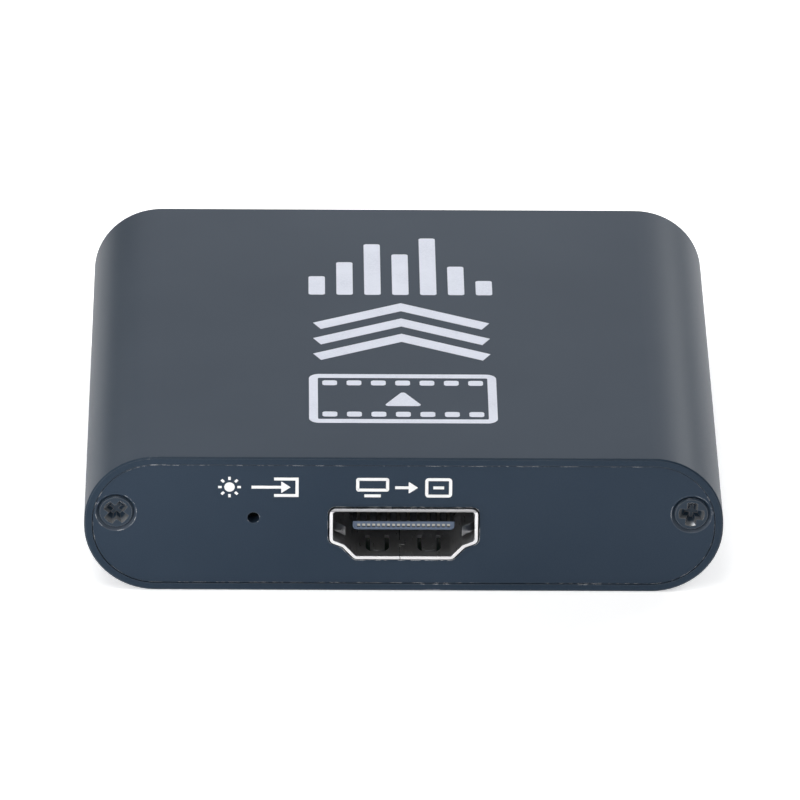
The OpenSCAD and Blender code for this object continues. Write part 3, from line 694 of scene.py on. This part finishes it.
@dataclass
class SubAssembly:
    """Pieces of the box that are finished together."""

    def dress_node(self, node: str, material: bpy.types.Material) -> None:
        """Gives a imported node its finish.

        Args:
            node: name of the node.
            material: the finish that it takes.
        """
        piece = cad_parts[node]
        for holder in piece.material_slots:
            holder.material = material
        log.info("%s: %s", node, material.name)

    def dress(self) -> None:
        """Finishes every piece of the sub-assembly."""
        raise NotImplementedError


class End(Enum):
    """End of the box, named as in its nodes, with the socket that it holds."""

    FRONT = ("front", "video")
    REAR = ("rear", "data")

    @property
    def side(self) -> str:
        """First word of the names of the plate, the screws and the pilot light."""
        return self.value[0]

    @property
    def port(self) -> str:
        """First word of the names of the socket's pieces."""
        return self.value[1]


@dataclass
class CaseShell(SubAssembly):
    """Extruded case."""

    paint: SatinPaint = SatinPaint(
        "case_satin_paint", (0.0135, 0.0285, 0.050), (0.0255, 0.0425, 0.066),
        chips=0.6, edge_radius=0.14 * MM)

    def dress(self) -> None:
        """Paints the case."""
        self.dress_node("case_extrusion", self.paint.material())


@dataclass
class EndPlates(SubAssembly):
    """The two end plates and their screws."""

    paint: SunkPaint = SunkPaint(
        "plate_satin_paint", (0.019, 0.035, 0.059), (0.0285, 0.046, 0.072), chips=1.6)
    screw_paint: DrivenScrew = DrivenScrew(
        "screw_black_oxide", (0.022, 0.036, 0.056), (0.025, 0.040, 0.060), roughness=0.21, gloss=0.2)

    def dress(self) -> None:
        """Paints the plates and blackens the screws."""
        plate, screw = self.paint.material(), self.screw_paint.material()
        for end in End:
            self.dress_node(f"{end.side}_plate", plate)
            self.dress_node(f"{end.side}_plate_screws", screw)


@dataclass
class Sockets(SubAssembly):
    """Shell, tongue and contacts of the video socket and of the data socket."""

    video_steel: LippedSheet = LippedSheet(
        "video_port_nickel", (0.86, 0.86, 0.87), (0.74, 0.74, 0.75),
        metal=0.95, roughness=0.27, streak_depth=0.0001 * MM)
    data_steel: PlatedSheet = PlatedSheet(
        "data_port_nickel", (0.82, 0.82, 0.82), (0.70, 0.70, 0.70), roughness=0.29, streak_depth=0.0001 * MM)
    gold: PlatedSheet = PlatedSheet(
        "contact_gold_plate", (0.58, 0.56, 0.50), (0.52, 0.49, 0.42), roughness=0.37, edge_radius=0.03 * MM)
    grey: TippedMoulding = TippedMoulding("video_tongue_grey", (0.052, 0.055, 0.062), (0.060, 0.063, 0.070))
    blue: Moulding = Moulding("data_tongue_blue", (0.012, 0.10, 0.44), (0.015, 0.12, 0.47))

    def dress(self) -> None:
        """Plates the shells and contacts and colours the tongues."""
        gold = self.gold.material()
        sockets = ((End.FRONT, self.video_steel, self.grey), (End.REAR, self.data_steel, self.blue))
        for end, steel, tongue in sockets:
            self.dress_node(f"{end.port}_port_shell", steel.material())
            self.dress_node(f"{end.port}_port_tongue", tongue.material())
            self.dress_node(f"{end.port}_port_contacts", gold)


@dataclass
class PilotLights(SubAssembly):
    """Lens and leads of the pilot light behind each end plate."""

    resin: LensResin = LensResin("pilot_lens_resin", (0.7, 0.85, 0.76), (0.62, 0.78, 0.7))
    tin: PlatedSheet = PlatedSheet(
        "pilot_lead_tin", (0.7, 0.7, 0.69), (0.55, 0.55, 0.54), roughness=0.32, edge_radius=0.05 * MM)

    def dress(self) -> None:
        """Gives the lenses their resin and the leads their tin."""
        resin, tin = self.resin.material(), self.tin.material()
        for end in End:
            self.dress_node(f"{end.side}_light_lens", resin)
            self.dress_node(f"{end.side}_light_leads", tin)


@dataclass
class BoardParts(SubAssembly):
    """Circuit board and everything soldered on it but the sockets and pilot lights."""

    laminate: BoardLaminate = BoardLaminate(
        "board_dark_mask", (0.004, 0.009, 0.0075), (0.012, 0.026, 0.021))
    tin: PlatedSheet = PlatedSheet(
        "board_tinned_leads", (0.72, 0.72, 0.71), (0.56, 0.56, 0.55), roughness=0.31, edge_radius=0.03 * MM)
    black: Moulding = Moulding(
        "chip_black_resin", (0.012, 0.012, 0.013), (0.02, 0.02, 0.021), roughness=0.53)
    ferrite: Moulding = Moulding(
        "inductor_ferrite", (0.07, 0.066, 0.063), (0.1, 0.095, 0.09), roughness=0.63)
    yellow: Moulding = Moulding("capacitor_yellow_resin", (0.6, 0.34, 0.045), (0.64, 0.38, 0.06))
    tan: Moulding = Moulding(
        "capacitor_tan_ceramic", (0.46, 0.34, 0.2), (0.52, 0.4, 0.25), roughness=0.38)

    def dress(self) -> None:
        """Finishes the board, its chips, their leads and the small parts."""
        self.dress_node("circuit_board", self.laminate.material())
        finishes = {
            self.black: ("capture_chip", "video_receiver_chip", "frame_memory_chip", "firmware_chip",
                         "voltage_regulators", "surge_guards", "chip_resistors"),
            self.tin: ("video_receiver_leads", "firmware_chip_leads", "voltage_regulator_leads", "crystals"),
            self.ferrite: ("power_inductors",),
            self.yellow: ("bulk_capacitors",),
            self.tan: ("ceramic_capacitors",),
        }
        for finish, nodes in finishes.items():
            material = finish.material()
            for node in nodes:
                self.dress_node(node, material)


@dataclass
class Surface:
    """Points of a closed surface and the faces between them."""

    points: np.ndarray
    faces: list[list[int]]


def merged(surfaces: list[Surface]) -> Surface:
    """Puts several surfaces into one.

    Args:
        surfaces: the surfaces, each closed by itself.

    Returns:
        One surface with all their points and faces.
    """
    starts = np.cumsum([0] + [len(surface.points) for surface in surfaces])
    faces = [[start + i for i in face]
             for start, surface in zip(starts, surfaces) for face in surface.faces]
    return Surface(np.vstack([surface.points for surface in surfaces]), faces)


def unit(vectors: np.ndarray) -> np.ndarray:
    """Returns vectors scaled to length 1."""
    return vectors / np.linalg.norm(vectors, axis=-1, keepdims=True)


def ring_faces(rows: int, columns: int) -> np.ndarray:
    """Joins the points of a grid whose columns close on themselves.

    Args:
        rows: count of rows.
        columns: count of points in a row.

    Returns:
        The quads, first row first.
    """
    row, column = np.meshgrid(np.arange(rows - 1), np.arange(columns), indexing="ij")
    after = (column + 1) % columns
    here, above = row * columns, (row + 1) * columns
    return np.stack([here + column, here + after, above + after, above + column], axis=-1).reshape(-1, 4)


def rounded(corners: np.ndarray, radius: float) -> np.ndarray:
    """Rounds the corners of a convex outline that runs anticlockwise.

    At a corner b between unit sides u and v, with half its angle h, the arc's middle is
    b + unit(u + v) r / sin h, and the arc turns by pi - 2 h from the point b + u r / tan h.

    Args:
        corners: the outline's corners, one row each.
        radius: radius of every arc.

    Returns:
        The points of the rounded outline.
    """
    u = unit(np.roll(corners, 1, axis=0) - corners)
    v = unit(np.roll(corners, -1, axis=0) - corners)
    half = np.arccos(np.clip((u * v).sum(axis=1), -1, 1)) / 2
    middle = corners + unit(u + v) * (radius / np.sin(half))[:, None]
    start = corners + u * (radius / np.tan(half))[:, None] - middle
    share = np.linspace(0, 1, ARC_STEPS + 1)
    angle = np.arctan2(start[:, 1], start[:, 0])[:, None] + (math.pi - 2 * half)[:, None] * share
    arcs = middle[:, None] + radius * np.stack([np.cos(angle), np.sin(angle)], axis=-1)
    return arcs.reshape(-1, 2)


def rectangle(middle: tuple[float, float], width: float, length: float, radius: float) -> np.ndarray:
    """Returns the outline of a rectangle with round corners."""
    signs = np.array([[-1, -1], [1, -1], [1, 1], [-1, 1]]) / 2
    return rounded(np.array(middle) + signs * (width, length), radius)


def disc(middle: tuple[float, float], radius: float) -> np.ndarray:
    """Returns the outline of a disc."""
    angle = np.linspace(0, 2 * math.pi, 6 * ARC_STEPS, endpoint=False)
    return np.array(middle) + radius * np.column_stack([np.cos(angle), np.sin(angle)])


def slab(outline: np.ndarray) -> Surface:
    """Lays ink over an outline that every point of its middle sees.

    P(s, t) = middle + k(s) (outline(t) - middle) at height h(s): s runs from a pole under the ink out to
    its edge, up the side, in over a narrow shoulder and back to a pole on top.

    Args:
        outline: the outline's points, anticlockwise.

    Returns:
        The ink's closed surface as (across, along, height).
    """
    count = len(outline)
    middle = outline.mean(axis=0)
    inset = 1 - INK_SHOULDER / np.linalg.norm(outline - middle, axis=1).mean()
    share = np.array([1.0, 1.0, inset])
    height = np.array([-INK_SUNK, INK_PROUD / 2, INK_PROUD])
    flat = middle + share[:, None, None] * (outline - middle)
    tall = np.broadcast_to(height[:, None, None], (3, count, 1))
    rings = np.concatenate([flat, tall], axis=2).reshape(-1, 3)
    poles = np.array([[*middle, height[0]], [*middle, height[-1]]])
    turn = np.arange(count)
    after = (turn + 1) % count
    under = np.column_stack([np.full(count, 3 * count), after, turn])
    over = np.column_stack([np.full(count, 3 * count + 1), 2 * count + turn, 2 * count + after])
    faces = ring_faces(3, count).tolist() + under.tolist() + over.tolist()
    return Surface(np.vstack([rings, poles]), faces)


def band(path: np.ndarray, width: float, closed: bool = False) -> Surface:
    """Draws a line of ink of even width along a bent path.

    P(i, j) = path(i) + side(j) width / 2 (m + n) / (1 + m.n), where m and n are the left-hand normals of the
    path's pieces before and after point i, and the four corners j go round a rectangle of ink.

    Args:
        path: the path's points.
        width: width of the line.
        closed: whether the last point runs back to the first.

    Returns:
        The ink's closed surface as (across, along, height).
    """
    steps = unit(np.roll(path, -1, axis=0) - path)
    if not closed:
        steps[-1] = steps[-2]
    left = np.column_stack([-steps[:, 1], steps[:, 0]])
    before = np.roll(left, 1, axis=0)
    if not closed:
        before[0] = left[0]
    mitre = (before + left) / (1 + (before * left).sum(axis=1, keepdims=True))
    side = np.array([-1, -1, 1, 1])
    height = np.array([-INK_SUNK, INK_PROUD, INK_PROUD, -INK_SUNK])
    flat = path[:, None] + side[None, :, None] * mitre[:, None] * width / 2
    corner, count = np.arange(4), len(path)
    tall = np.broadcast_to(height[None, :, None], (count, 4, 1))
    points = np.concatenate([flat, tall], axis=2).reshape(-1, 3)
    first = np.arange(count if closed else count - 1)[:, None] * 4
    second = (first + 4) % (4 * count)
    after = (corner + 1) % 4
    quads = np.stack([first + corner, second + corner, second + after, first + after], axis=-1)
    caps = [] if closed else [[0, 1, 2, 3], (4 * count - 1 - corner).tolist()]
    return Surface(points, quads.reshape(-1, 4).tolist() + caps)


class Face(Enum):
    """Face of the box that carries a print, named by its node."""

    TOP = "case_extrusion"
    FRONT = "front_plate"

    def place(self, points: np.ndarray) -> np.ndarray:
        """Stands a print on the face.

        Args:
            points: rows of across, along and height.

        Returns:
            The same points in the box's own frame.
        """
        lowest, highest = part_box(self.value)
        across, along, height = points.T
        if self is Face.TOP:
            return np.column_stack([across, along, highest.z + height])
        return np.column_stack([across, lowest.y - height, along])


@dataclass
class PrintedMarks(SubAssembly):
    """Marks printed on one face, in plain shapes."""

    ink: PrintInk
    face: Face
    slot: str

    def marks(self) -> dict[str, list[Surface]]:
        """Returns the marks' surfaces by the name of their piece."""
        raise NotImplementedError

    def dress(self) -> None:
        """Makes the marks' pieces and inks them."""
        material = self.ink.material()
        for name, surfaces in self.marks().items():
            surface = merged(surfaces)
            mesh = bpy.data.meshes.new(name)
            mesh.from_pydata(self.face.place(surface.points).tolist(), [], surface.faces)
            mesh.materials.append(material)
            piece = bpy.data.objects.new(name, mesh)
            bpy.context.scene.collection.objects.link(piece)
            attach(piece, BODY)
            log.info("%s: %d faces", name, len(surface.faces))


@dataclass
class TopPrint(PrintedMarks):
    """Print on the top: a film frame, arrows and level bars, in a column from front to back."""

    ink: PrintInk = PrintInk("top_grey_ink", (0.76, 0.79, 0.88), (0.64, 0.67, 0.76))
    face: Face = Face.TOP
    slot: str = "case_paint"
    column_w: float = 19.0 * MM
    corner_r: float = 0.3 * MM
    film_y: float = -16.2 * MM
    film_l: float = 11.4 * MM
    film_stroke: float = 0.9 * MM
    pads: int = 7
    pad_w: float = 1.5 * MM
    pad_l: float = 1.15 * MM
    play_size: float = 4.6 * MM
    arrow_y: float = -6.4 * MM
    arrow_pitch: float = 3.7 * MM
    arrow_rise: float = 4.6 * MM
    arrow_stroke: float = 1.7 * MM
    arrows: int = 3
    level_y: float = 8.6 * MM
    level_w: float = 1.7 * MM
    level_heights: tuple[float, ...] = (
        4.5 * MM, 8.0 * MM, 12.5 * MM, 10.0 * MM, 14.0 * MM, 7.0 * MM, 3.5 * MM)

    def film(self) -> list[Surface]:
        """Draws a film frame.

        Returns:
            Its outline, a play triangle and a row of pads along each side.
        """
        half = self.film_l / 2
        outline = rectangle((0, self.film_y), self.column_w - self.film_stroke,
                            self.film_l - self.film_stroke, 2 * self.corner_r)
        row = half - self.film_stroke - self.pad_l
        places = np.linspace(-0.5, 0.5, self.pads) * (self.column_w - 3 * self.film_stroke - self.pad_w)
        pads = [slab(rectangle((x, self.film_y + side * row), self.pad_w, self.pad_l, self.corner_r))
                for side in (-1, 1) for x in places]
        turn = np.radians([90, 210, 330])
        middle = (0, self.film_y - self.play_size / 8)
        tips = np.column_stack([np.cos(turn), np.sin(turn)]) * self.play_size / 2 + middle
        return [band(outline, self.film_stroke, closed=True), slab(rounded(tips, self.corner_r)), *pads]

    def chevrons(self) -> list[Surface]:
        """Draws arrows without shafts that point backwards.

        Returns:
            The arrows, each a bent band.
        """
        half = (self.column_w - self.arrow_stroke) / 2
        shape = np.array([[half, -self.arrow_rise], [0, 0], [-half, -self.arrow_rise]])
        tips = self.arrow_y + self.arrow_rise + np.arange(self.arrows) * self.arrow_pitch
        return [band(shape + (0, y), self.arrow_stroke) for y in tips]

    def levels(self) -> list[Surface]:
        """Draws a row of level bars on one base line.

        Returns:
            The bars, of different heights.
        """
        places = np.linspace(-0.5, 0.5, len(self.level_heights)) * (self.column_w - self.level_w)
        return [slab(rectangle((x, self.level_y + tall / 2), self.level_w, tall, self.corner_r))
                for x, tall in zip(places, self.level_heights)]

    def marks(self) -> dict[str, list[Surface]]:
        """Returns the film frame, the arrows and the level bars."""
        names = ("top_print_film", "top_print_arrows", "top_print_levels")
        return dict(zip(names, (self.film(), self.chevrons(), self.levels())))


@dataclass
class FrontMarks(PrintedMarks):
    """White signs on the front plate: a lit lamp over the pilot light, and picture in over the socket."""

    ink: PrintInk = PrintInk("front_white_ink", (0.97, 0.97, 0.97), (0.93, 0.93, 0.93))
    face: Face = Face.FRONT
    slot: str = "plate_paint"
    line_z: float = 11.5 * MM
    sign_h: float = 2.15 * MM
    stroke: float = 0.32 * MM
    corner_r: float = 0.1 * MM
    lamp_x: float = -17.45 * MM
    lamp_r: float = 0.52 * MM
    rays: int = 8
    ray_from: float = 0.78 * MM
    ray_to: float = 1.14 * MM
    ray_thin: float = 0.8
    tray_x: float = -13.0 * MM
    tray_w: float = 4.6 * MM
    tray_reach: float = 0.85
    screen_x: float = -3.15 * MM
    screen_w: float = 3.3 * MM
    arrow_x: float = 0.25 * MM
    arrow_l: float = 2.3 * MM
    head_l: float = 0.95 * MM
    head_slope: float = 0.7
    box_x: float = 3.45 * MM
    box_w: float = 2.7 * MM

    def arrow(self, tip: float, length: float) -> list[Surface]:
        """Returns an arrow to the right.

        Args:
            tip: where its point ends.
            length: its whole length.

        Returns:
            Its shaft and its head.
        """
        neck = tip - self.head_l
        shaft = np.array([[tip - length, self.line_z], [neck, self.line_z]])
        spread = self.head_l * self.head_slope
        head = np.array([[neck, self.line_z - spread], [tip, self.line_z], [neck, self.line_z + spread]])
        return [band(shaft, self.stroke), slab(rounded(head, self.corner_r / 2))]

    def lamp(self) -> list[Surface]:
        """Draws the lamp sign.

        Returns:
            A lamp with rays, a tray open on its left and an arrow into it.
        """
        middle = (self.lamp_x, self.line_z)
        turn = np.arange(self.rays) * 2 * math.pi / self.rays
        ways = np.column_stack([np.cos(turn), np.sin(turn)])
        reach = np.array([[self.ray_from], [self.ray_to]])
        rays = [band(np.array(middle) + way * reach, self.stroke * self.ray_thin) for way in ways]
        left, right = self.tray_x, self.tray_x + self.tray_w / 2
        half = (self.sign_h - self.stroke) / 2
        tray = np.array([[left, half], [right, half], [right, -half], [left, -half]]) + (0, self.line_z)
        arrow = self.arrow(right - 2 * self.stroke, self.tray_w * self.tray_reach)
        return [slab(disc(middle, self.lamp_r)), *rays, band(tray, self.stroke), *arrow]

    def picture_in(self) -> list[Surface]:
        """Draws the picture-in sign.

        Returns:
            A screen on its foot, an arrow and a box.
        """
        foot = self.stroke
        tall = self.sign_h - self.stroke
        screen = rectangle((self.screen_x, self.line_z + foot), self.screen_w - self.stroke,
                           tall - 2 * foot, self.corner_r)
        low, reach = self.line_z - tall / 2, self.screen_w / 4
        stand = np.array([[self.screen_x - reach, low], [self.screen_x + reach, low]])
        box = rectangle((self.box_x, self.line_z), self.box_w - self.stroke, tall, self.corner_r * 2)
        half = self.box_w / 5
        slit = np.array([[self.box_x - half, self.line_z], [self.box_x + half, self.line_z]])
        return [
            band(screen, self.stroke, closed=True), band(stand, self.stroke),
            *self.arrow(self.arrow_x + self.arrow_l / 2, self.arrow_l),
            band(box, self.stroke, closed=True), band(slit, self.stroke),
        ]

    def marks(self) -> dict[str, list[Surface]]:
        """Returns the lamp sign and the picture-in sign."""
        return {"front_mark_lamp": self.lamp(), "front_mark_picture_in": self.picture_in()}


@dataclass(frozen=True)
class Viewpoint:
    """Camera that stands where the photograph was taken, from the lines of the box."""

    eye: tuple[float, float, float] = (-13.602 * MM, -896.984 * MM, 436.907 * MM)
    pitch: float = math.radians(25.611)
    yaw: float = math.radians(0.865)
    roll: float = math.radians(0.617)
    focal_px: float = 9666.4
    frame_px: float = 800.0
    sensor_mm: float = 36.0

    def build(self) -> None:
        """Makes the scene's camera."""
        flat = math.cos(self.pitch)
        ahead = Vector((math.sin(self.yaw) * flat, math.cos(self.yaw) * flat, -math.sin(self.pitch)))
        level = Vector((math.cos(self.yaw), -math.sin(self.yaw), 0))
        above = level.cross(ahead)
        right = math.cos(self.roll) * level + math.sin(self.roll) * above
        up = math.cos(self.roll) * above - math.sin(self.roll) * level
        data = bpy.data.cameras.new("photo_camera")
        data.sensor_width = self.sensor_mm
        data.lens = self.focal_px / self.frame_px * self.sensor_mm
        camera = bpy.data.objects.new("photo_camera", data)
        turn = Matrix((right, up, -ahead)).transposed().to_4x4()
        camera.matrix_world = Matrix.Translation(self.eye) @ turn
        bpy.context.scene.collection.objects.link(camera)
        bpy.context.scene.camera = camera


@dataclass(frozen=True)
class Panel:
    """Soft light panel that faces the box."""

    name: str
    place: tuple[float, float, float]
    width: float
    height: float
    power: float
    colour: Colour = (1.0, 1.0, 1.0)

    def build(self) -> None:
        """Makes the panel, turned to the box."""
        data = bpy.data.lights.new(self.name, "AREA")
        data.shape = "RECTANGLE"
        data.size, data.size_y = self.width, self.height
        data.energy = self.power
        data.color = self.colour
        panel = bpy.data.objects.new(self.name, data)
        panel.location = self.place
        panel.rotation_euler = (-Vector(self.place)).to_track_quat("-Z", "Y").to_euler()
        panel.visible_camera = False
        bpy.context.scene.collection.objects.link(panel)


@dataclass
class Studio:
    """Pale floor, white surroundings, soft panels and the camera."""

    floor_half: float = 3.0
    floor_drop: float = 0.02 * MM
    floor_colour: Colour = (0.93, 0.93, 0.93)
    floor_fleck_colour: Colour = (0.91, 0.91, 0.91)
    floor_fineness: float = 900.0
    floor_roughness: float = 0.9
    floor_gloss: float = 0.1
    floor_glow: float = 0.55
    floor_cells: int = 12
    sky_colour: Colour = (1.0, 1.0, 1.0)
    sky_strength: float = 0.07
    panels: tuple[Panel, ...] = (
        Panel("panel_behind", (0.0, 1.2, 0.8), 1.6, 0.8, 5.3, (0.95, 0.96, 1.0)),
        Panel("panel_behind_low", (0.02, 0.13, 0.05), 0.16, 0.05, 0.0175),
        Panel("panel_behind_right", (0.45, 0.45, 0.35), 0.4, 0.3, 2.6),
        Panel("panel_behind_left", (-0.45, 0.45, 0.35), 0.4, 0.3, 1.0),
        Panel("panel_front", (0.0, -0.6, 0.6), 0.6, 0.4, 1.1),
        Panel("panel_front_left", (-0.12, -0.14, 0.05), 0.08, 0.06, 0.08),
        Panel("panel_left", (-0.42, -0.15, 0.2), 0.25, 0.25, 0.15),
        Panel("panel_above", (-0.1, -0.16, 0.5), 0.3, 0.2, 0.85),
    )
    viewpoint: Viewpoint = Viewpoint()

    def floor(self) -> None:
        """Makes the floor: the plane (u, v) -> (u, v, -drop) on an even grid."""
        steps = np.linspace(-self.floor_half, self.floor_half, self.floor_cells + 1)
        u, v = np.meshgrid(steps, steps)
        points = np.stack([u, v, np.full_like(u, -self.floor_drop)], axis=-1).reshape(-1, 3)
        cells, wide = np.arange(self.floor_cells), self.floor_cells + 1
        row, column = np.meshgrid(cells, cells, indexing="ij")
        corner = row * wide + column
        quads = np.stack([corner, corner + 1, corner + wide + 1, corner + wide], axis=-1).reshape(-1, 4)
        mesh = bpy.data.meshes.new("studio_floor")
        mesh.from_pydata(points.tolist(), [], quads.tolist())
        shader = Shader("floor_pale_paper")
        grain = shader.effect(grain_effect(), Fineness=self.floor_fineness)
        mesh.materials.append(shader.finish(
            Base_Color=shader.mix(grain["Grain"], self.floor_colour, self.floor_fleck_colour),
            Roughness=self.floor_roughness,
            Specular_IOR_Level=self.floor_gloss,
            Emission_Color=self.floor_colour,
            Emission_Strength=self.floor_glow,
        ))
        floor = bpy.data.objects.new("studio_floor", mesh)
        bpy.context.scene.collection.objects.link(floor)

    def surroundings(self) -> None:
        """Makes the white surroundings and a plain view transform."""
        world = bpy.data.worlds.new("studio_world")
        world.use_nodes = True
        background = world.node_tree.nodes["Background"]
        background.inputs["Color"].default_value = rgba(self.sky_colour)
        background.inputs["Strength"].default_value = self.sky_strength
        bpy.context.scene.world = world
        bpy.context.scene.view_settings.view_transform = "Standard"

    def build(self) -> None:
        """Makes the whole studio."""
        self.viewpoint.build()
        self.floor()
        self.surroundings()
        for panel in self.panels:
            panel.build()
        log.info("studio: %d light panels", len(self.panels))


def main() -> None:
    """Builds the studio, then finishes each sub-assembly in order."""
    logging.basicConfig(level=logging.INFO, format="%(message)s")
    Studio().build()
    sub_assemblies: list[SubAssembly] = [
        CaseShell(), EndPlates(), Sockets(), PilotLights(), BoardParts(), TopPrint(), FrontMarks(),
    ]
    for sub_assembly in sub_assemblies:
        sub_assembly.dress()


if __name__ == "__main__":
    main()
